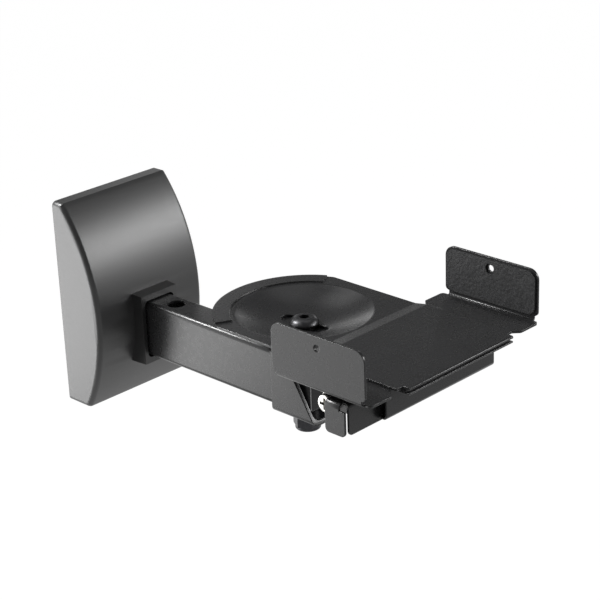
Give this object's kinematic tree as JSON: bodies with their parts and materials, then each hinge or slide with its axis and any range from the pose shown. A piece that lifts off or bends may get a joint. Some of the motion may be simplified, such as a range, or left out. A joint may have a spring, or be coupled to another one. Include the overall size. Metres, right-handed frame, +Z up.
{
  "type": "speaker wall bracket",
  "caption": "Wall bracket for a bookshelf loudspeaker: tube arm with a wall cover, tilt and swivel tray on a ball seat, and side jaws closed by a clamp screw.",
  "frame": {"origin": "middle of the four wall screw holes, on the wall plane at the back of the wall plate", "axes": "+Y into the wall, so the arm and the tray reach out along -Y; +Z up; +X to the right seen from the room looking at the wall; the clamp screw's head is on the -X side"},
  "size_m": [0.16, 0.317, 0.148],
  "materials": {
    "black_steel": "satin black powder coat",
    "black_plastic": "fine moulded satin black",
    "grip_pad": "matt grained grip pad",
    "black_zinc": "black zinc plate",
    "nickel": "bright nickel plate",
    "nylon": "natural nylon"
  },
  "bodies": {
    "base": {"wall_plate": "black_steel", "arm_tube": "black_steel", "saddle": "black_steel", "seat_base": "black_steel", "seat_ring": "black_steel", "seat_dish": "black_steel", "pivot_sleeve": "black_steel", "pivot_bolt": "black_zinc", "nut_washer": "black_zinc", "lock_nut": "black_zinc", "lock_nut_insert": "nylon"},
    "cover_body": {"cover": "black_plastic"},
    "swivel_body": {"key_washer": "black_zinc"},
    "tray_body": {"tray": "black_steel", "guide_plate": "black_steel", "front_strip": "black_steel", "rail": "black_steel"},
    "near_side": {"near_jaw": "black_steel", "near_pad": "grip_pad", "near_spacer": "black_steel", "near_slider": "black_steel", "screw_washer": "nickel"},
    "far_side": {"far_jaw": "black_steel", "far_pad": "grip_pad", "far_spacer": "black_steel", "far_slider": "black_steel", "clamp_nut": "nickel"},
    "screw_body": {"clamp_screw": "nickel", "screw_ring": "nickel"}
  },
  "joints": [
    {"name": "cover_slide", "type": "slide", "parent": "base", "child": "cover_body", "axis": [0, -1, 0], "range_m": [0, 0.075]},
    {"name": "swivel", "type": "hinge", "parent": "base", "child": "swivel_body", "pos_m": [0, -0.188, 0.11895], "axis": [0, 0, 1], "range_deg": [-40, 40]},
    {"name": "tilt", "type": "hinge", "parent": "swivel_body", "child": "tray_body", "pos_m": [0, -0.188, 0.11895], "axis": [1, 0, 0], "range_deg": [-7, 7]},
    {"name": "near_jaw_slide", "type": "slide", "parent": "tray_body", "child": "near_side", "axis": [-1, 0, 0], "range_m": [0, 0.035]},
    {"name": "far_jaw_slide", "type": "slide", "parent": "tray_body", "child": "far_side", "axis": [1, 0, 0], "range_m": [0, 0.035]},
    {"name": "screw_turn", "type": "hinge", "parent": "near_side", "child": "screw_body", "pos_m": [-0.0722, -0.2726, 0.0165], "axis": [1, 0, 0], "range_deg": [-25200, 0]}
  ],
  "couplings": [
    {"joint": "far_jaw_slide", "follows": "near_jaw_slide", "ratio": 1},
    {"joint": "screw_turn", "follows": "near_jaw_slide", "rad_per_m": -12566}
  ]
}
